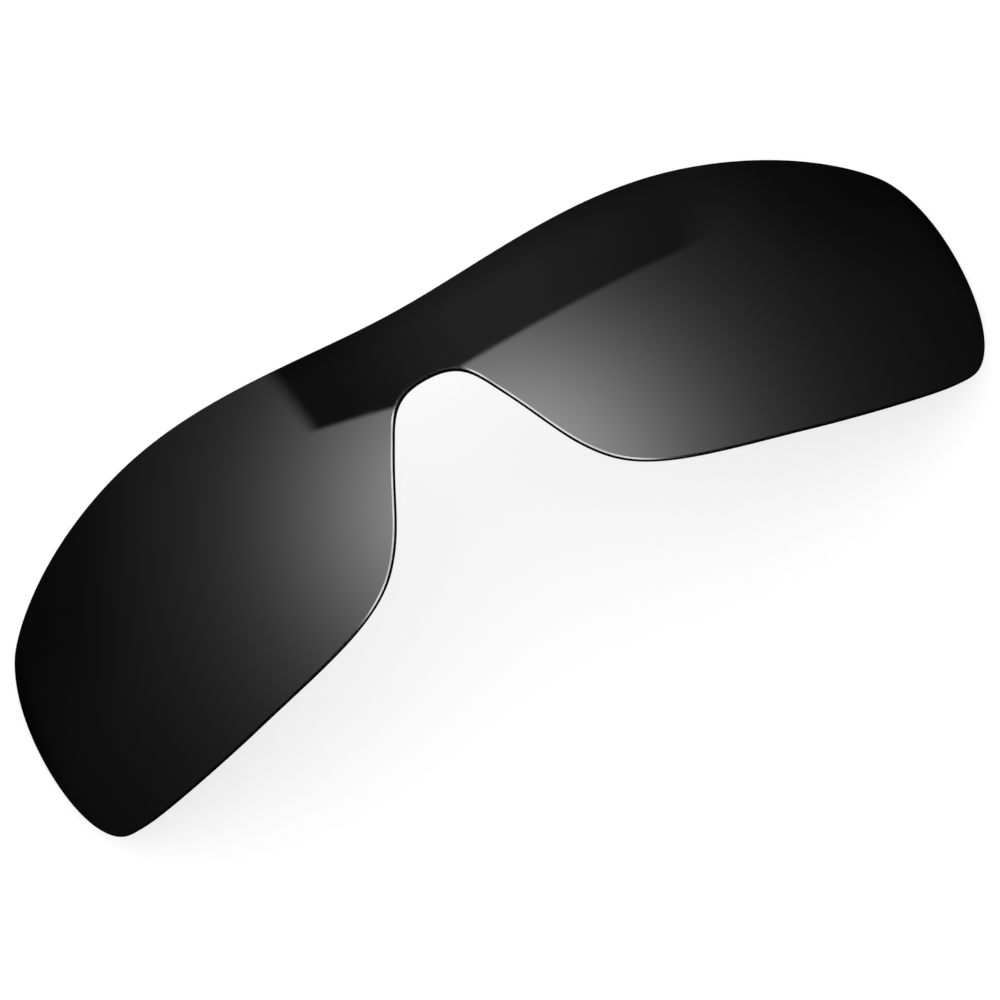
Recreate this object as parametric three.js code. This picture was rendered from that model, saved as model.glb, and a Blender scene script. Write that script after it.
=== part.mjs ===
import * as THREE from 'three';

// A one-piece wrap shield lens for sunglasses. It is a laminate: sheets, films and coats cut to one
// outline on concentric spheres, with a bevel round its front and rear edges. Millimetres, +X across
// the face, +Y towards the brow edge and +Z up. The convex front faces up, and the lens stands on its
// edge with its hollow side down, as it does on a table.

// Driving dimensions.
const FRONT_RADIUS = 82; // of the spherical front face, about a 6.5 base curve
const FRONT_BEVEL = 0.18; // width and depth, through the coats and into the cover sheet
const REAR_BEVEL = 0.25; // width and depth, through the rear coat and into the carrier
const REST_TILT = THREE.MathUtils.degToRad(-6.5); // about X, where the lens stands level on its edge

// The layers from front to rear.
const LAYERS = [
  { name: 'front_hard_coat', thickness: 0.04, colour: 0x2a2c2e, roughness: 0.05, metalness: 0.0 },
  { name: 'mirror_coat', thickness: 0.03, colour: 0x3c4042, roughness: 0.04, metalness: 1.0 },
  { name: 'front_cover_sheet', thickness: 0.28, colour: 0x202224, roughness: 0.08, metalness: 0.0 },
  { name: 'front_bond_layer', thickness: 0.05, colour: 0x6c6a60, roughness: 0.3, metalness: 0.0 },
  { name: 'polarising_film', thickness: 0.05, colour: 0x0c0d10, roughness: 0.3, metalness: 0.0 },
  { name: 'rear_bond_layer', thickness: 0.05, colour: 0x6c6a60, roughness: 0.3, metalness: 0.0 },
  { name: 'rear_carrier_sheet', thickness: 1.06, colour: 0x1b1c1e, roughness: 0.08, metalness: 0.0 },
  { name: 'rear_hard_coat', thickness: 0.04, colour: 0x26282a, roughness: 0.05, metalness: 0.0 },
];
const THICKNESS = LAYERS.reduce((sum, layer) => sum + layer.thickness, 0);

// The outline's right half in plan, square to the middle of the front face. Each knot has the edge's
// heading in degrees, and how far the curve reaches along it before and after the knot.
const BROW = [
  { x: 0, y: 6.8, heading: 0, after: 12.5 },
  { x: 40.5, y: 11.6, heading: 0, before: 14, after: 13 },
  { x: 66, y: 6.2, heading: -49, before: 3.2, after: 2.9 },
];
const TEMPLE = [
  { x: 66, y: 6.2, heading: -49, after: 2.9 },
  { x: 69, y: -5.6, heading: -90, before: 5.6, after: 7.1 },
  { x: 63, y: -23.7, heading: -145.5, before: 5 },
];
const CHEEK_AND_NOSE = [
  { x: 63, y: -23.7, heading: -145.5, after: 4 },
  { x: 40.5, y: -27.9, heading: 180, before: 9.4, after: 15 },
  { x: 15.2, y: -22.5, heading: 134, before: 5.2, after: 4.6 },
  { x: 7.9, y: -10, heading: 118, before: 6.8, after: 4.5 },
  { x: 0, y: -3.5, heading: 180, before: 5 },
];

// The face's grid: cells from the middle to one end, and from the lower edge to the brow.
const CELLS_ACROSS_HALF = 24;
const CELLS_UP = 8;
const CROWDING = 0.4; // how much closer the grid's lines lie at its ends than in its middle
const ROUNDING = 1e-6; // depths nearer than this are the same depth

// The point at a knot, or at its curve's handle that far along its heading.
function along(knot, reach) {
  const heading = THREE.MathUtils.degToRad(knot.heading);
  return new THREE.Vector2(knot.x + reach * Math.cos(heading), knot.y + reach * Math.sin(heading));
}

// One smooth edge through a list of knots.
function edgeThrough(knots) {
  const edge = new THREE.CurvePath();
  for (let i = 1; i < knots.length; i += 1) {
    const [from, to] = [knots[i - 1], knots[i]];
    const handles = [along(from, from.after), along(to, -to.before)];
    edge.add(new THREE.CubicBezierCurve(along(from, 0), ...handles, along(to, 0)));
  }
  return edge;
}

const brow = edgeThrough(BROW);
const temple = edgeThrough(TEMPLE);
const cheekAndNose = edgeThrough(CHEEK_AND_NOSE);
const middle = new THREE.LineCurve(along(CHEEK_AND_NOSE.at(-1), 0), along(BROW[0], 0));

// Moves an even fraction so that it lies closer to its neighbours near 0 and 1.
function crowded(fraction) {
  return fraction - (CROWDING * Math.sin(2 * Math.PI * fraction)) / (2 * Math.PI);
}

// The plan point at across (0 in the middle, 1 at the temple) and up (0 at the lower edge, 1 at the
// brow): a patch blended from the right half's four edges.
function planPoint(across, up) {
  const low = cheekAndNose.getPointAt(1 - across);
  const high = brow.getPointAt(across);
  const inner = middle.getPointAt(up);
  const outer = temple.getPointAt(1 - up);
  const corners = [
    [cheekAndNose.getPointAt(1), (1 - across) * (1 - up)],
    [cheekAndNose.getPointAt(0), across * (1 - up)],
    [brow.getPointAt(0), (1 - across) * up],
    [brow.getPointAt(1), across * up],
  ];
  const point = new THREE.Vector2()
    .addScaledVector(low, 1 - up)
    .addScaledVector(high, up)
    .addScaledVector(inner, 1 - across)
    .addScaledVector(outer, across);
  corners.forEach(([corner, share]) => point.addScaledVector(corner, -share));
  return point;
}

// The directions of the grid's points from the spheres' centre, row by row from the lower edge, each
// row from the left temple to the right one.
const COLUMNS = 2 * CELLS_ACROSS_HALF + 1;
const ROWS = CELLS_UP + 1;
const directions = [];
for (let row = 0; row < ROWS; row += 1) {
  for (let column = 0; column < COLUMNS; column += 1) {
    const fromMiddle = column - CELLS_ACROSS_HALF;
    const plan = planPoint(crowded(Math.abs(fromMiddle) / CELLS_ACROSS_HALF), crowded(row / CELLS_UP));
    const x = Math.sign(fromMiddle) * plan.x;
    const z = Math.sqrt(FRONT_RADIUS ** 2 - x ** 2 - plan.y ** 2);
    directions.push(new THREE.Vector3(x, plan.y, z).normalize());
  }
}

// The grid's points on the edge, anticlockwise seen from the front.
const index = (row, column) => row * COLUMNS + column;
const rim = [];
for (let column = 0; column < COLUMNS - 1; column += 1) rim.push(index(0, column));
for (let row = 0; row < ROWS - 1; row += 1) rim.push(index(row, COLUMNS - 1));
for (let column = COLUMNS - 1; column > 0; column -= 1) rim.push(index(ROWS - 1, column));
for (let row = ROWS - 1; row > 0; row -= 1) rim.push(index(row, 0));

// The grid's points at a depth below the front face. A bevel draws the edge's own points in.
function surfaceAt(depth) {
  const inset = Math.max(0, FRONT_BEVEL - depth, REAR_BEVEL - (THICKNESS - depth));
  const points = directions.map((direction) => direction.clone());
  rim.forEach((point, i) => {
    const before = directions[rim.at(i - 1)];
    const after = directions[rim[(i + 1) % rim.length]];
    const inward = directions[point].clone().cross(after.clone().sub(before)).normalize();
    points[point].addScaledVector(inward, inset / FRONT_RADIUS).normalize();
  });
  const centre = new THREE.Vector3(0, 0, -FRONT_RADIUS);
  return points.map((point) => point.multiplyScalar(FRONT_RADIUS - depth).add(centre));
}

// The triangles of the grid's face, facing the front.
const faceTriangles = [];
for (let row = 0; row < ROWS - 1; row += 1) {
  for (let column = 0; column < COLUMNS - 1; column += 1) {
    const [a, b] = [index(row, column), index(row, column + 1)];
    const [c, d] = [index(row + 1, column + 1), index(row + 1, column)];
    // The diagonals mirror about the middle, so that both halves are alike.
    if (column < CELLS_ACROSS_HALF) faceTriangles.push([a, b, c], [a, c, d]);
    else faceTriangles.push([a, b, d], [b, c, d]);
  }
}

// A closed sheet between two depths. Its edge wall turns wherever a bevel starts between them.
function sheetGeometry(front, rear) {
  const bevelStarts = [FRONT_BEVEL, THICKNESS - REAR_BEVEL];
  const turns = bevelStarts.filter((start) => start > front + ROUNDING && start < rear - ROUNDING);
  const levels = [front, ...turns, rear].map(surfaceAt);
  const vertices = [];
  const addTriangle = (...corners) => corners.forEach((corner) => vertices.push(...corner.toArray()));
  for (const [a, b, c] of faceTriangles) {
    addTriangle(levels[0][a], levels[0][b], levels[0][c]);
    addTriangle(levels.at(-1)[a], levels.at(-1)[c], levels.at(-1)[b]);
  }
  for (let level = 1; level < levels.length; level += 1) {
    const [upper, lower] = [levels[level - 1], levels[level]];
    rim.forEach((here, i) => {
      const next = rim[(i + 1) % rim.length];
      addTriangle(upper[here], lower[here], lower[next]);
      addTriangle(upper[here], lower[next], upper[next]);
    });
  }
  const geometry = new THREE.BufferGeometry();
  geometry.setAttribute('position', new THREE.Float32BufferAttribute(vertices, 3));
  geometry.computeVertexNormals();
  return geometry;
}

const lens = new THREE.Group();
let front = 0;
for (const { name, thickness, colour, roughness, metalness } of LAYERS) {
  const material = new THREE.MeshStandardMaterial({ color: colour, roughness, metalness });
  const sheet = new THREE.Mesh(sheetGeometry(front, front + thickness), material);
  sheet.name = name;
  lens.add(sheet);
  front += thickness;
}

// Stand the lens on its edge, with the origin under the middle of its box.
lens.rotation.x = REST_TILT;
lens.updateMatrixWorld(true);
const box = new THREE.Box3().setFromObject(lens, true);
lens.position.set(0, -(box.min.y + box.max.y) / 2, -box.min.z);

export default lens;
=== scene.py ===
import math

import bpy
import numpy as np
from mathutils import Matrix, Vector


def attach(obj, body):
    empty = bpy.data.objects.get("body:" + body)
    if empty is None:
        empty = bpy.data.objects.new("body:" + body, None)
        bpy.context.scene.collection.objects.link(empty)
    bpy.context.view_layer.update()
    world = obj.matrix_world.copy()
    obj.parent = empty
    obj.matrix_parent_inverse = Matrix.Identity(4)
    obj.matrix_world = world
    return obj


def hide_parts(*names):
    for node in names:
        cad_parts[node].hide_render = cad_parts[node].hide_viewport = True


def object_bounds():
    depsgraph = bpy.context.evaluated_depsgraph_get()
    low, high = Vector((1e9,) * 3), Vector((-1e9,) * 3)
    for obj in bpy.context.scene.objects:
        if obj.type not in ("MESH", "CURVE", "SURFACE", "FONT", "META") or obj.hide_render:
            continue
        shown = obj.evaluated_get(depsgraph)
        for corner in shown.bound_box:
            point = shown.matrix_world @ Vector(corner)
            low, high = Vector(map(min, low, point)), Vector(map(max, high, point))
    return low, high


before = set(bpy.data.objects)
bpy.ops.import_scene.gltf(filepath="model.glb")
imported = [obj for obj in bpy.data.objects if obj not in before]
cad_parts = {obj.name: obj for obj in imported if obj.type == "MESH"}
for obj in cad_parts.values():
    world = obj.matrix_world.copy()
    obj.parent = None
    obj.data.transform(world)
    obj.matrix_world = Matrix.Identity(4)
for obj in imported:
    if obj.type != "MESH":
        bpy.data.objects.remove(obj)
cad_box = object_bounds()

# A one-piece wrap shield sunglass lens: eight sheets, films and coats bonded on concentric spheres, cut
# to one outline and bevelled round the front and rear edges. Its convex mirrored front faces up.
# Lengths are in millimetres up to the meshes, which are in metres like the frame.

MM = 0.001

# The laminate.
FRONT_RADIUS = 82.0  # of the spherical front face
FRONT_BEVEL = 0.18  # width and depth
REAR_BEVEL = 0.25  # width and depth
BEVEL_ROUNDING = 0.015  # depth on each side of a bevel's start over which it turns
REST_TILT = math.radians(-6.5)  # about X, where the lens stands level on its edge

# The layers from front to rear: node, thickness, material slot, and the finishes of faces and edge.
LAYERS = [
    ("front_hard_coat", 0.04, "front_hard_coat", "mirrored_face", "coat_edge"),
    ("mirror_coat", 0.03, "mirror_coat", "mirror_film", "mirror_edge"),
    ("front_cover_sheet", 0.28, "tinted_sheet", "smoke_sheet", "sheet_edge"),
    ("front_bond_layer", 0.05, "bond_layer", "adhesive", "adhesive_edge"),
    ("polarising_film", 0.05, "polarising_film", "stretched_film", "film_edge"),
    ("rear_bond_layer", 0.05, "bond_layer", "adhesive", "adhesive_edge"),
    ("rear_carrier_sheet", 1.06, "tinted_sheet", "smoke_sheet", "sheet_edge"),
    ("rear_hard_coat", 0.04, "rear_hard_coat", "rear_face", "coat_edge"),
]
THICKNESS = sum(layer[1] for layer in LAYERS)

# The outline's right half in plan, square to the middle of the front face. Each knot is its place, the
# edge's heading there in degrees, and how far the curve reaches along it before and after the knot.
BROW = [
    (0, 6.8, 0, 0, 12.5),
    (40.5, 11.6, 0, 14, 13),
    (66, 6.2, -49, 3.2, 2.9),
]
TEMPLE = [
    (66, 6.2, -49, 3.2, 2.9),
    (69, -5.6, -90, 5.6, 7.1),
    (63, -23.7, -145.5, 5, 4),
]
CHEEK_AND_NOSE = [
    (63, -23.7, -145.5, 5, 4),
    (40.5, -27.9, 180, 9.4, 15),
    (15.2, -22.5, 134, 5.2, 4.6),
    (7.9, -10, 118, 6.8, 4.5),
    (0, -3.5, 180, 5, 0),
]

# The fineness of the meshes.
CELLS_ACROSS_HALF = 120
CELLS_UP = 40
CROWDING = 0.4  # how much closer the grid's lines lie at its ends than in its middle
CURVE_STEPS = 600  # parts of the curve between two knots, from which its length is measured
ROUNDING_STEPS = 4  # steps down the edge in which a bevel turns
SAME_DEPTH = 1e-6  # depths nearer than this are the same depth

# The marks of making and wear. Bump heights are in metres.
FORMING_WAVES = 1.2e-5  # height of the waves in the sheets' faces
CUTTER_MARKS = 4e-6  # height of the marks on the cut edge
LINES_SHARE = 0.35  # height of the cutter's lines beside that of its chatter
OVERSPRAY_FADE = 0.08  # depth past the front bevel over which the mirror's overspray thins out
OVERSPRAY_GREY = 0.3
BUFFED_EDGE = {"IOR": 1.6, "Coat Weight": 1.0, "Coat Roughness": 0.12, "Coat IOR": 1.7}
SMOKE_SHEET_IOR = 1.56
SCRATCH_SETS = ((24, 5.5), (-37, 7.0), (71, 6.2))  # heading in degrees, cells of noise per mm across
SCRATCH_ALONG = 0.035  # cells of noise per mm along a scratch
WORN_PATCHES = 0.06  # cells of noise per mm, for the patches that are scratched at all
MIRROR_SCRATCH = 0.12  # what a scratch adds to the mirror's grey, as a share of it
MIRROR_SCRATCH_ROUGHNESS = 0.06
SHEET_SCRATCH = 0.012  # what a scratch adds to a sheet's grey
SHEET_SCRATCH_ROUGHNESS = 0.08
COOLNESS = 1.08  # a sheet's blue beside its red and green

# The floor.
FLOOR_HALF = 3.0  # metres
FLOOR_GREY = (0.47, 0.49)
FLOOR_GLOW = 0.62

# The studio as gloss sees it. Places in it are coordinates of a unit direction away from the lens, and
# light is relative to the plain white that lights everything else. Two places are where a change starts
# and is complete, and four are where something starts, is full, begins to fade and ends.
GLOW = 1.09  # the zenith's glow, at the height below
GLOW_HEIGHT = 0.93
GLOW_RISE = 7.9  # how fast the glow grows with height
GLOW_LEAN = 0.27  # how fast it grows towards +X
HAZE = 0.035  # the sky's light at the horizon
HAZE_RISE = 1.8  # how fast it grows with height
UNDER_HEIGHT = (-0.6, -0.35)  # below this the dome is dark
UNDER_LIGHT = 0.1  # what is left of the dome there
BEHIND_PLACE = (0.2, 0.5)  # along Y, where the dome dims low behind
BEHIND_HEIGHT = (-0.1, 0.35)
BEHIND_LOSS = 0.4  # what the dome loses there
AHEAD_PLACE = (-0.75, -0.45)  # along Y, where the dome dims ahead
AHEAD_LIGHT = 0.25  # what is left of the dome there
FLAG_EDGE = 0.45  # along Y, the flag's near edge in the middle
FLAG_SLOPE = 0.06  # of the near edge, back towards +X
FLAG_TURN = -0.13  # along X, where the flag's left end is turned back
FLAG_TURN_SLOPE = 0.33
FLAG_SOFTNESS = 0.01  # on each side of the near edge
FLAG_SPAN = (-0.40, -0.34, 0.72, 0.82)
FLAG_FOOT = (-0.1, 0.15)
FLAG_END_LIGHT = 0.03
FLAG_MIDDLE_LIGHT = 0.06  # more than at its ends
FLAG_MIDDLE = (-0.3, 0.2, 0.3, 0.9)
FLAG_FAR = (0.62, 0.74)  # along Y, where the flag darkens
FLAG_FAR_LIGHT = 0.55  # what is left of its light there
STRIP_LIGHT = 2.6
STRIP_HEIGHT = (0.27, 0.33, 0.39, 0.44)
STRIP_BOW = 0.25  # how much lower the strip is straight ahead than at the sides
STRIP_PLACE = (-0.19, -0.13)  # along Y, where its two ends are
BACK_LIGHT = 0.8
BACK_PLACE = (0.84, 0.92)  # along Y
BACK_HEIGHT = (0.04, 0.1, 0.3, 0.45)

# The camera, at the place that it has over the lens.
CAMERA_TILT = math.radians(19.05)  # from straight down, towards -Y
CAMERA_AZIMUTH = math.radians(1.27)
CAMERA_ROLL = math.radians(-28.44)
CAMERA_TARGET = (0.85, -6.66, 20.0)
CAMERA_DISTANCE = 600.0
CAMERA_LENS = 168.75
SENSOR_WIDTH = 36.0
CLIP_NEAR = 0.05  # metres
CLIP_FAR = 20.0  # metres


# ---------------------------------------------------------------- the shape

def crowded(share):
    """Moves even shares so that they lie closer together near 0 and 1."""
    return share - CROWDING * np.sin(2 * np.pi * share) / (2 * np.pi)


def reached(place, heading, reach):
    """The point that far from a place, along a heading in degrees."""
    turn = math.radians(heading)
    return place + reach * np.array([math.cos(turn), math.sin(turn)])


def edge_through(knots):
    """One smooth edge through a list of knots: its points, and the share of its length at each."""
    t = np.linspace(0, 1, CURVE_STEPS + 1)[:, None]
    runs = []
    for (x0, y0, heading0, _, after), (x1, y1, heading1, before, _) in zip(knots, knots[1:]):
        start, end = np.array([x0, y0]), np.array([x1, y1])
        first, last = reached(start, heading0, after), reached(end, heading1, -before)
        first_half = (1 - t) ** 3 * start + 3 * (1 - t) ** 2 * t * first
        runs.append(first_half + 3 * (1 - t) * t**2 * last + t**3 * end)
    points = np.vstack([run[:-1] for run in runs] + [runs[-1][-1:]])
    travelled = np.concatenate([[0], np.cumsum(np.linalg.norm(np.diff(points, axis=0), axis=1))])
    return points, travelled / travelled[-1]


def points_on(edge, shares):
    """The edge's points at these shares of its length."""
    points, travelled = edge
    return np.stack([np.interp(shares, travelled, points[:, axis]) for axis in (0, 1)], axis=-1)


def directions_of(plan):
    """Unit directions from the spheres' centre to plan points on the front face."""
    height = np.sqrt(FRONT_RADIUS**2 - (plan**2).sum(axis=-1))
    return np.concatenate([plan, height[..., None]], axis=-1) / FRONT_RADIUS


COLUMNS = 2 * CELLS_ACROSS_HALF + 1
ROWS = CELLS_UP + 1
ACROSS = crowded(np.linspace(0, 1, CELLS_ACROSS_HALF + 1))
UP = crowded(np.linspace(0, 1, ROWS))


def mirrored(half):
    """A whole row of plan points, from the left to the right, given its right half from the middle."""
    return np.concatenate([(half * [-1, 1])[:0:-1], half])


def outline():
    """The lens's edge as plan points, anticlockwise seen from the front, from its lower left corner."""
    low = mirrored(points_on(edge_through(CHEEK_AND_NOSE), 1 - ACROSS))
    high = mirrored(points_on(edge_through(BROW), ACROSS))
    right = points_on(edge_through(TEMPLE), 1 - UP)
    left = right * [-1, 1]
    return np.concatenate([low[:-1], right[:-1], high[:0:-1], left[:0:-1]])


# Along the edge: directions of its points, the way out from the lens there, and the way travelled.
RIM = directions_of(outline())
TANGENT = np.roll(RIM, -1, axis=0) - np.roll(RIM, 1, axis=0)
OUTWARD = np.cross(TANGENT, RIM)
OUTWARD /= np.linalg.norm(OUTWARD, axis=1, keepdims=True)
RIM_STEPS = np.linalg.norm(np.roll(RIM, -1, axis=0) - RIM, axis=1) * FRONT_RADIUS
ALONG_RIM = np.concatenate([[0], np.cumsum(RIM_STEPS)])


def over(length):
    """0 below 0 and the length itself above it, with the turn between them rounded."""
    turning = (length + BEVEL_ROUNDING) ** 2 / (4 * BEVEL_ROUNDING)
    return np.where(length < -BEVEL_ROUNDING, 0, np.where(length > BEVEL_ROUNDING, length, turning))


def over_slope(length):
    """How fast over grows with the length."""
    return np.clip((length + BEVEL_ROUNDING) / (2 * BEVEL_ROUNDING), 0, 1)


def inset_at(depth):
    """How far the bevels draw the edge in, at a depth below the front face."""
    return float(over(FRONT_BEVEL - depth) + over(depth - (THICKNESS - REAR_BEVEL)))


def inset_slope(depth):
    """How fast the inset grows with depth."""
    return float(over_slope(depth - (THICKNESS - REAR_BEVEL)) - over_slope(FRONT_BEVEL - depth))


def rim_at(depth):
    """Directions of the edge's points at a depth below the front face."""
    rim = RIM - OUTWARD * inset_at(depth) / FRONT_RADIUS
    return rim / np.linalg.norm(rim, axis=1, keepdims=True)


def edge_normals(depth):
    """Normals of the edge's wall at a depth, before the lens is tilted to its rest."""
    normals = OUTWARD - inset_slope(depth) * RIM
    return normals / np.linalg.norm(normals, axis=1, keepdims=True)


def grid_at(depth):
    """Directions of the whole face's points at a depth, row by row from the lower edge: a patch
    blended from the edge's four sides."""
    rim = rim_at(depth)[:, :2] * FRONT_RADIUS
    right_corner = COLUMNS - 1
    top_corner = right_corner + ROWS - 1
    low = rim[: right_corner + 1]
    right = rim[right_corner : top_corner + 1]
    high = rim[top_corner : top_corner + COLUMNS][::-1]
    left = np.concatenate([rim[top_corner + COLUMNS - 1 :], rim[:1]])[::-1]
    across = np.concatenate([-ACROSS[:0:-1], ACROSS])
    up = UP[:, None, None]
    plan = (1 - up) * low[None] + up * high[None]
    for side, way in ((right, 1), (left, -1)):
        share = np.clip(way * across, 0, None)[None, :, None]
        chord = side[0] + UP[:, None] * (side[-1] - side[0])
        plan = plan + share * (side - chord)[:, None]
    return directions_of(plan).reshape(-1, 3)


def placed(directions, depth):
    """Points in the frame, in millimetres, before the lens is set down on the floor."""
    points = directions * (FRONT_RADIUS - depth)
    return points @ TILT.T


TILT = np.array(Matrix.Rotation(REST_TILT, 3, "X"))
turning_depths = np.linspace(-BEVEL_ROUNDING, BEVEL_ROUNDING, ROUNDING_STEPS + 1)
RING_DEPTHS = np.concatenate([FRONT_BEVEL + turning_depths, THICKNESS - REAR_BEVEL + turning_depths])
edge_points = np.concatenate([placed(rim_at(depth), depth) for depth in (0, *RING_DEPTHS, THICKNESS)])
cad_low, cad_high = (np.array(corner) / MM for corner in cad_box)
SET_DOWN = np.array([
    0,
    (cad_low[1] + cad_high[1]) / 2 - (edge_points[:, 1].min() + edge_points[:, 1].max()) / 2,
    cad_low[2] - edge_points[:, 2].min(),
])


def grid_index(row, column):
    return row * COLUMNS + column


def rim_indices():
    """The grid's points on the edge, in the outline's order."""
    low = [grid_index(0, column) for column in range(COLUMNS - 1)]
    right = [grid_index(row, COLUMNS - 1) for row in range(ROWS - 1)]
    high = [grid_index(ROWS - 1, column) for column in range(COLUMNS - 1, 0, -1)]
    left = [grid_index(row, 0) for row in range(ROWS - 1, 0, -1)]
    return np.array(low + right + high + left)


def face_quads():
    """The cells of the grid's face, facing the front."""
    row, column = np.meshgrid(np.arange(ROWS - 1), np.arange(COLUMNS - 1), indexing="ij")
    below = [grid_index(row, column), grid_index(row, column + 1)]
    above = [grid_index(row + 1, column + 1), grid_index(row + 1, column)]
    return np.stack(below + above, axis=-1).reshape(-1, 4)


RIM_INDEX = rim_indices()
FACE_QUADS = face_quads()


def wall_corners(upper, lower):
    """What the four corners of each cell in the edge's wall have, given what its two rings have."""
    return np.stack([upper, lower, np.roll(lower, -1, axis=0), np.roll(upper, -1, axis=0)], axis=1)


def sheet_mesh(name, front, rear):
    """One closed sheet between two depths, with true sphere and bevel normals. Its edge's corners hold
    how far they are along the edge and how deep, in millimetres, for the cutting marks."""
    inner = [depth for depth in RING_DEPTHS if front + SAME_DEPTH < depth < rear - SAME_DEPTH]
    depths = [front, *inner, rear]
    front_grid, rear_grid = grid_at(front), grid_at(rear)
    points = [placed(front_grid, front), placed(rear_grid, rear)]
    rings = [RIM_INDEX]
    total = 2 * len(front_grid)
    for depth in inner:
        points.append(placed(rim_at(depth), depth))
        rings.append(np.arange(total, total + len(RIM)))
        total += len(RIM)
    rings.append(RIM_INDEX + len(front_grid))
    vertices = (np.concatenate(points) + SET_DOWN) * MM

    quads = [FACE_QUADS, FACE_QUADS[:, ::-1] + len(front_grid)]
    normals = [front_grid[FACE_QUADS], -rear_grid[FACE_QUADS[:, ::-1]]]
    along = [np.zeros((2 * len(FACE_QUADS), 4))]
    deep = [np.full(FACE_QUADS.shape, front), np.full(FACE_QUADS.shape, rear)]
    start, end = ALONG_RIM[:-1], ALONG_RIM[1:]
    for level in range(1, len(depths)):
        top, bottom = depths[level - 1], depths[level]
        quads.append(wall_corners(rings[level - 1], rings[level]))
        normals.append(wall_corners(edge_normals(top), edge_normals(bottom)))
        along.append(np.stack([start, start, end, end], axis=-1))
        deep.append(np.tile([top, bottom, bottom, top], (len(RIM), 1)))

    mesh = bpy.data.meshes.new(name)
    all_quads = np.concatenate(quads)
    mesh.from_pydata(vertices.tolist(), [], all_quads.tolist())
    on_edge = np.arange(len(all_quads)) >= 2 * len(FACE_QUADS)
    mesh.polygons.foreach_set("material_index", on_edge.astype(np.int32))
    mesh.polygons.foreach_set("use_smooth", np.ones(len(all_quads), bool))
    for attribute, values in (("along_rim", along), ("depth", deep)):
        layer = mesh.attributes.new(attribute, "FLOAT", "CORNER")
        layer.data.foreach_set("value", np.concatenate(values).astype(np.float32).ravel())
    corner_normals = np.concatenate(normals).reshape(-1, 3) @ TILT.T
    mesh.normals_split_custom_set(corner_normals.tolist())
    mesh.update()
    return mesh


# ---------------------------------------------------------------- shader nodes

def feed(tree, node, inputs):
    """Links each of a node's inputs to a socket, or sets it on the node itself."""
    for name, value in inputs.items():
        if isinstance(value, bpy.types.NodeSocket):
            tree.links.new(value, node.inputs[name])
        else:
            node.inputs[name].default_value = value


def put(tree, kind, inputs=None, **settings):
    """Adds a node with its inputs and settings."""
    node = tree.nodes.new(kind)
    for name, value in settings.items():
        setattr(node, name, value)
    feed(tree, node, inputs or {})
    return node


def maths(tree, operation, *values):
    return put(tree, "ShaderNodeMath", dict(enumerate(values)), operation=operation).outputs[0]


def product(tree, first, *others):
    """All the values multiplied."""
    for other in others:
        first = maths(tree, "MULTIPLY", first, other)
    return first


def growing(tree, value, rise, one_at=0.0):
    """Grows exponentially with the value, and is 1 where the value is one_at."""
    return maths(tree, "EXPONENT", maths(tree, "MULTIPLY_ADD", value, rise, -rise * one_at))


def ranged(tree, value, source, target, smooth=True):
    """The value, moved from the source range to the target one and held inside it."""
    inputs = {
        "Value": value,
        "From Min": source[0],
        "From Max": source[1],
        "To Min": target[0],
        "To Max": target[1],
    }
    kind = "SMOOTHSTEP" if smooth else "LINEAR"
    return put(tree, "ShaderNodeMapRange", inputs, interpolation_type=kind).outputs[0]


def between(tree, value, start, full, fading, end):
    """1 where the value is between full and fading, and 0 before start and past end."""
    rising = ranged(tree, value, (start, full), (0, 1))
    return product(tree, rising, ranged(tree, value, (fading, end), (1, 0)))


def uneven(tree, value, grey, spread):
    """A grey that strays by this share of itself, as the value goes from 0.3 to 0.7."""
    return ranged(tree, value, (0.3, 0.7), (grey * (1 - spread), grey * (1 + spread)), smooth=False)


def noise(tree, vector, scale=1.0, detail=2.0, roughness=0.5, distortion=0.0):
    inputs = {
        "Vector": vector,
        "Scale": scale,
        "Detail": detail,
        "Roughness": roughness,
        "Distortion": distortion,
    }
    return put(tree, "ShaderNodeTexNoise", inputs).outputs[0]


def millimetres(tree):
    """The surface point in millimetres."""
    point = put(tree, "ShaderNodeTexCoord").outputs["Object"]
    scale = {0: point, "Scale": 1 / MM}
    return put(tree, "ShaderNodeVectorMath", scale, operation="SCALE").outputs[0]


def streaked(tree, vector, heading, scale):
    """The vector turned so that the heading, in degrees about Z, lies along X, and then scaled: a noise
    on it runs in streaks along the heading where X has the smallest scale."""
    sizes = [1 / along_axis for along_axis in scale]
    inputs = {"Vector": vector, "Rotation": (0, 0, math.radians(heading)), "Scale": sizes}
    return put(tree, "ShaderNodeMapping", inputs, vector_type="TEXTURE").outputs[0]


def colour_of(tree, red, green, blue):
    return put(tree, "ShaderNodeCombineColor", {0: red, 1: green, 2: blue}).outputs[0]


def bumped(tree, height, distance):
    inputs = {"Strength": 1.0, "Distance": distance, "Height": height}
    return put(tree, "ShaderNodeBump", inputs).outputs[0]


def new_finish(name):
    """A material with only an output and a principled shader."""
    material = bpy.data.materials.new(name)
    material.use_nodes = True
    tree = material.node_tree
    tree.nodes.clear()
    shader = put(tree, "ShaderNodeBsdfPrincipled")
    put(tree, "ShaderNodeOutputMaterial", {"Surface": shader.outputs[0]})
    return material, tree, shader


# ---------------------------------------------------------------- the finishes

def scratches(tree, point):
    """Hairline wiping scratches: 1 on a scratch, 0 elsewhere."""
    found = None
    for heading, across in SCRATCH_SETS:
        lines = streaked(tree, point, heading, (SCRATCH_ALONG, across, SCRATCH_ALONG))
        lines = noise(tree, lines, detail=2.0, roughness=0.6)
        worn = noise(tree, streaked(tree, point, heading, (WORN_PATCHES,) * 3), detail=1.0)
        worn = ranged(tree, worn, (0.5, 0.62), (0, 1))
        lines = product(tree, ranged(tree, lines, (0.72, 0.78), (0, 1)), worn)
        found = lines if found is None else maths(tree, "MAXIMUM", found, lines)
    return found


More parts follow.
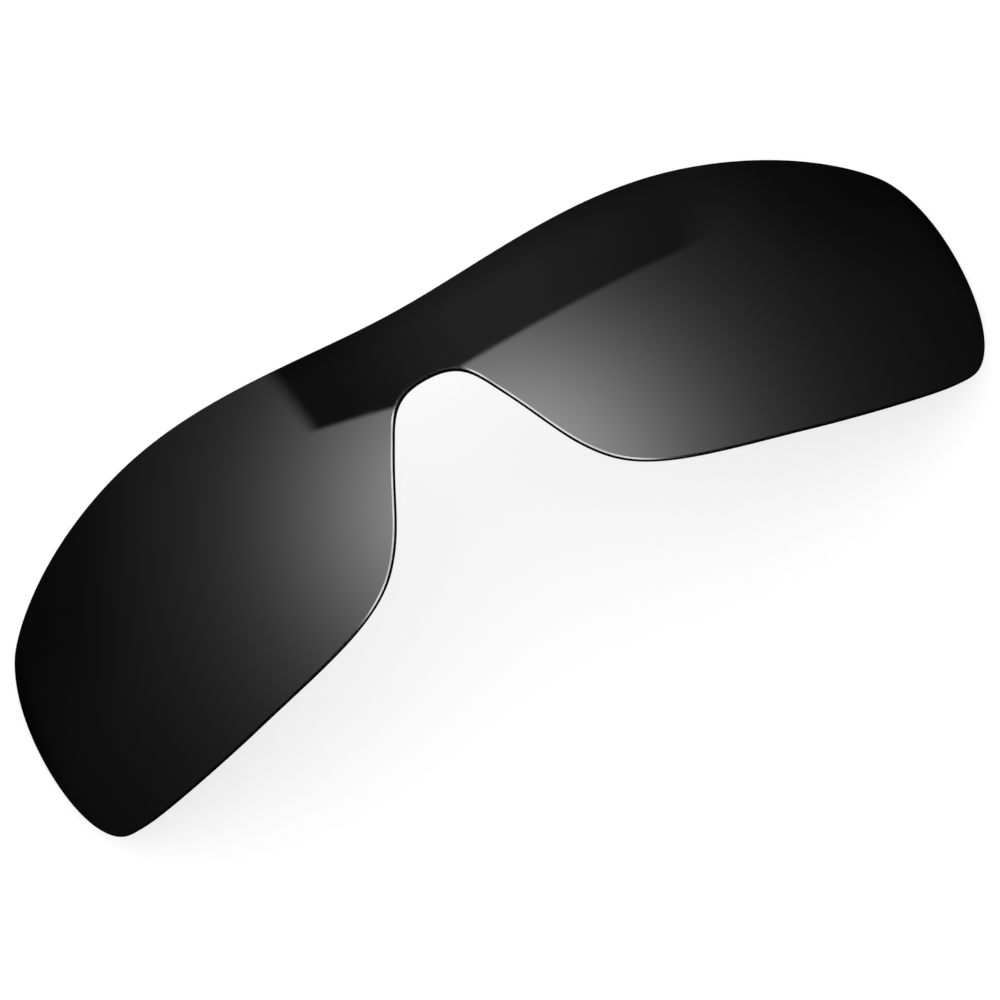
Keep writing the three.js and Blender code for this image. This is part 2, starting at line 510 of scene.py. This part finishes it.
def mirror_finish(name, reflectance, clear_coat):
    """A dark neutral vapour-deposited mirror under a clear coat: faint forming waves in the sheet,
    wiping smears in the gloss, hairline scratches and an uneven deposit."""
    material, tree, shader = new_finish(name)
    point = millimetres(tree)
    lines = scratches(tree, point)
    deposit = noise(tree, point, scale=0.022, detail=2.0, roughness=0.4)
    grey = uneven(tree, deposit, reflectance, 0.06)
    grey = maths(tree, "MULTIPLY_ADD", lines, reflectance * MIRROR_SCRATCH, grey)
    smears = streaked(tree, point, 31, (0.05, 0.16, 0.08))
    smears = noise(tree, smears, detail=5.0, roughness=0.62, distortion=1.2)
    gloss = ranged(tree, smears, (0.42, 0.72), (0.022, 0.055))
    waves = noise(tree, point, scale=0.045, detail=1.0, roughness=0.4)
    feed(tree, shader, {
        "Base Color": colour_of(tree, grey, grey, grey),
        "Metallic": 1.0,
        "Roughness": maths(tree, "MULTIPLY_ADD", lines, MIRROR_SCRATCH_ROUGHNESS, gloss),
        "Normal": bumped(tree, waves, FORMING_WAVES),
        "Coat Weight": clear_coat,
        "Coat Roughness": 0.02,
        "Coat IOR": 1.5,
    })
    return material


def sheet_finish(name, grey, gloss_range, ior=1.5):
    """A moulded or cast face of a plastic sheet or film: a dense, slightly cool tint with soft
    polishing haze."""
    material, tree, shader = new_finish(name)
    point = millimetres(tree)
    lines = scratches(tree, point)
    tint = noise(tree, point, scale=0.03, detail=2.0, roughness=0.5)
    tint = uneven(tree, tint, grey, 0.15)
    tint = maths(tree, "MULTIPLY_ADD", lines, SHEET_SCRATCH, tint)
    haze = streaked(tree, point, -18, (0.05, 0.14, 0.08))
    haze = noise(tree, haze, detail=4.0, roughness=0.6, distortion=0.8)
    gloss = ranged(tree, haze, (0.4, 0.75), gloss_range)
    waves = noise(tree, point, scale=0.05, detail=1.0, roughness=0.4)
    feed(tree, shader, {
        "Base Color": colour_of(tree, tint, tint, product(tree, tint, COOLNESS)),
        "Roughness": maths(tree, "MULTIPLY_ADD", lines, SHEET_SCRATCH_ROUGHNESS, gloss),
        "Normal": bumped(tree, waves, FORMING_WAVES),
        "IOR": ior,
    })
    return material


def edge_finish(name, grey, gloss, metallic=0.0):
    """A sheet's cut and buffed edge: fine cutter lines that run along it, and shallow chatter across it
    that breaks up a highlight. The mirror's overspray covers the front bevel."""
    material, tree, shader = new_finish(name)
    along = put(tree, "ShaderNodeAttribute", attribute_name="along_rim").outputs["Fac"]
    deep = put(tree, "ShaderNodeAttribute", attribute_name="depth").outputs["Fac"]
    place = put(tree, "ShaderNodeCombineXYZ", {0: along, 1: deep, 2: 0.0}).outputs[0]
    lines = noise(tree, streaked(tree, place, 0, (0.35, 24.0, 1.0)), detail=3.0, roughness=0.6)
    chatter = noise(tree, streaked(tree, place, 0, (0.9, 0.4, 1.0)), detail=2.0, roughness=0.6)
    height = maths(tree, "MULTIPLY_ADD", lines, LINES_SHARE, chatter)
    sprayed = ranged(tree, deep, (FRONT_BEVEL, FRONT_BEVEL + OVERSPRAY_FADE), (1, metallic))
    bare = uneven(tree, chatter, grey, 0.2)
    added = product(tree, sprayed, maths(tree, "SUBTRACT", OVERSPRAY_GREY, bare))
    value = maths(tree, "ADD", bare, added)
    feed(tree, shader, {
        "Base Color": colour_of(tree, value, value, value),
        "Metallic": sprayed,
        "Roughness": ranged(tree, lines, (0.3, 0.7), (gloss * 0.75, gloss * 1.3)),
        "Normal": bumped(tree, height, CUTTER_MARKS),
        **BUFFED_EDGE,
    })
    return material


FINISHES = {
    "mirrored_face": mirror_finish("mirrored_face", reflectance=0.135, clear_coat=1.0),
    "mirror_film": mirror_finish("mirror_film", reflectance=0.17, clear_coat=0.0),
    "smoke_sheet": sheet_finish("smoke_sheet", 0.006, (0.06, 0.12), ior=SMOKE_SHEET_IOR),
    "adhesive": sheet_finish("adhesive", 0.05, (0.3, 0.4)),
    "stretched_film": sheet_finish("stretched_film", 0.002, (0.25, 0.35)),
    "rear_face": sheet_finish("rear_face", 0.02, (0.03, 0.08)),
    "coat_edge": edge_finish("coat_edge", 0.006, gloss=0.14),
    "mirror_edge": edge_finish("mirror_edge", 0.3, gloss=0.18, metallic=1.0),
    "sheet_edge": edge_finish("sheet_edge", 0.004, gloss=0.14),
    "adhesive_edge": edge_finish("adhesive_edge", 0.02, gloss=0.3),
    "film_edge": edge_finish("film_edge", 0.002, gloss=0.4),
}


# ---------------------------------------------------------------- the pieces

def add_object(name, data):
    made = bpy.data.objects.new(name, data)
    bpy.context.scene.collection.objects.link(made)
    return made


front = 0.0
for node, thickness, slot, face_name, edge_name in LAYERS:
    mesh = sheet_mesh(node + "_fine", front, front + thickness)
    mesh.materials.append(FINISHES[face_name])
    mesh.materials.append(FINISHES[edge_name])
    piece = add_object(node + "_fine", mesh)
    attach(piece, "root")
    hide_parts(node)
    front += thickness


# ---------------------------------------------------------------- the floor

def floor_finish():
    """Pale matte paper that also glows a little, so that shadows on it stay soft and light."""
    material, tree, shader = new_finish("pale_floor")
    fibres = noise(tree, millimetres(tree), scale=0.8, detail=4.0, roughness=0.6)
    value = ranged(tree, fibres, (0.3, 0.7), FLOOR_GREY, smooth=False)
    feed(tree, shader, {
        "Base Color": colour_of(tree, value, value, value),
        "Roughness": 0.9,
        "Emission Color": (1, 1, 1, 1),
        "Emission Strength": FLOOR_GLOW,
    })
    return material


def build_floor():
    """A square under the lens. Gloss sees the studio below the horizon instead of it."""
    mesh = bpy.data.meshes.new("floor")
    signs = ((-1, -1), (1, -1), (1, 1), (-1, 1))
    corners = [(x * FLOOR_HALF, y * FLOOR_HALF, cad_box[0].z) for x, y in signs]
    mesh.from_pydata(corners, [], [(0, 1, 2, 3)])
    mesh.materials.append(floor_finish())
    floor = add_object("floor", mesh)
    floor.visible_glossy = False


build_floor()


# ---------------------------------------------------------------- the light

def dome_light(tree, x, y, z):
    """A dome that brightens towards the zenith, and darkens below the horizon, low behind and ahead."""
    glow = product(tree, growing(tree, z, GLOW_RISE, one_at=GLOW_HEIGHT), growing(tree, x, GLOW_LEAN))
    haze = product(tree, growing(tree, z, HAZE_RISE), HAZE)
    dome = maths(tree, "MULTIPLY_ADD", glow, GLOW, haze)
    above = ranged(tree, z, UNDER_HEIGHT, (UNDER_LIGHT, 1))
    low = ranged(tree, z, BEHIND_HEIGHT, (1, 0))
    low_behind = product(tree, ranged(tree, y, BEHIND_PLACE, (0, 1)), low)
    kept_behind = maths(tree, "MULTIPLY_ADD", low_behind, -BEHIND_LOSS, 1.0)
    kept_ahead = ranged(tree, y, AHEAD_PLACE, (AHEAD_LIGHT, 1))
    return product(tree, dome, above, kept_behind, kept_ahead)


def flag_cover(tree, x, y, z):
    """1 where the dark flag hangs over the brow side, and 0 elsewhere."""
    turned_back = maths(tree, "MAXIMUM", maths(tree, "SUBTRACT", FLAG_TURN, x), 0.0)
    near_edge = maths(tree, "MULTIPLY_ADD", turned_back, FLAG_TURN_SLOPE, FLAG_EDGE)
    near_edge = maths(tree, "MULTIPLY_ADD", x, FLAG_SLOPE, near_edge)
    past_edge = maths(tree, "SUBTRACT", y, near_edge)
    past_edge = ranged(tree, past_edge, (-FLAG_SOFTNESS, FLAG_SOFTNESS), (0, 1))
    return product(tree, past_edge, between(tree, x, *FLAG_SPAN), ranged(tree, z, FLAG_FOOT, (0, 1)))


def flag_light(tree, x, y):
    """The little light that the flag itself gives back."""
    middle = between(tree, x, *FLAG_MIDDLE)
    light = maths(tree, "MULTIPLY_ADD", middle, FLAG_MIDDLE_LIGHT, FLAG_END_LIGHT)
    return product(tree, light, ranged(tree, y, FLAG_FAR, (1, FLAG_FAR_LIGHT)))


def strip_light(tree, y, z):
    """A long bowed strip light that runs round the front and both sides."""
    height = maths(tree, "MULTIPLY_ADD", product(tree, y, y), STRIP_BOW, z)
    in_front = ranged(tree, y, STRIP_PLACE, (1, 0))
    return product(tree, between(tree, height, *STRIP_HEIGHT), in_front, STRIP_LIGHT)


def back_light(tree, y, z):
    """A soft box far behind."""
    far_behind = ranged(tree, y, BACK_PLACE, (0, 1))
    return product(tree, far_behind, between(tree, z, *BACK_HEIGHT), BACK_LIGHT)


def build_world():
    """Plain white light all round, with a studio in its place where gloss looks: a dome, a dark flag over
    the brow side, a bowed strip light in front and a soft box behind."""
    world = bpy.data.worlds.new("studio")
    bpy.context.scene.world = world
    world.use_nodes = True
    world.cycles.sampling_method = "NONE"
    tree = world.node_tree
    tree.nodes.clear()
    direction = put(tree, "ShaderNodeTexCoord").outputs["Generated"]
    x, y, z = put(tree, "ShaderNodeSeparateXYZ", {0: direction}).outputs

    dome = dome_light(tree, x, y, z)
    flagged = maths(tree, "MINIMUM", dome, flag_light(tree, x, y))
    dome = put(tree, "ShaderNodeMix", {0: flag_cover(tree, x, y, z), 2: dome, 3: flagged}).outputs[0]
    lamps = maths(tree, "ADD", strip_light(tree, y, z), back_light(tree, y, z))
    seen_by_gloss = maths(tree, "ADD", lamps, dome)

    white = (1, 1, 1, 1)
    plain = put(tree, "ShaderNodeBackground", {"Color": white, "Strength": 1.0})
    studio = put(tree, "ShaderNodeBackground", {"Color": white, "Strength": seen_by_gloss})
    is_gloss = put(tree, "ShaderNodeLightPath").outputs["Is Glossy Ray"]
    either = put(tree, "ShaderNodeMixShader", {0: is_gloss, 1: plain.outputs[0], 2: studio.outputs[0]})
    put(tree, "ShaderNodeOutputWorld", {"Surface": either.outputs[0]})


build_world()


# ---------------------------------------------------------------- the camera

def build_camera():
    away = Vector((
        math.sin(CAMERA_AZIMUTH) * math.sin(CAMERA_TILT),
        -math.cos(CAMERA_AZIMUTH) * math.sin(CAMERA_TILT),
        math.cos(CAMERA_TILT),
    ))
    level = Vector((0, 1, 0)).cross(away).normalized()
    upright = away.cross(level)
    right = math.cos(CAMERA_ROLL) * level + math.sin(CAMERA_ROLL) * upright
    up = -math.sin(CAMERA_ROLL) * level + math.cos(CAMERA_ROLL) * upright
    data = bpy.data.cameras.new("camera")
    data.sensor_width = SENSOR_WIDTH
    data.lens = CAMERA_LENS
    data.clip_start = CLIP_NEAR
    data.clip_end = CLIP_FAR
    camera = add_object("camera", data)
    camera.matrix_world = Matrix((right, up, away)).transposed().to_4x4()
    camera.location = (Vector(CAMERA_TARGET) + away * CAMERA_DISTANCE) * MM
    bpy.context.scene.camera = camera


build_camera()
bpy.context.scene.view_settings.view_transform = "Standard"
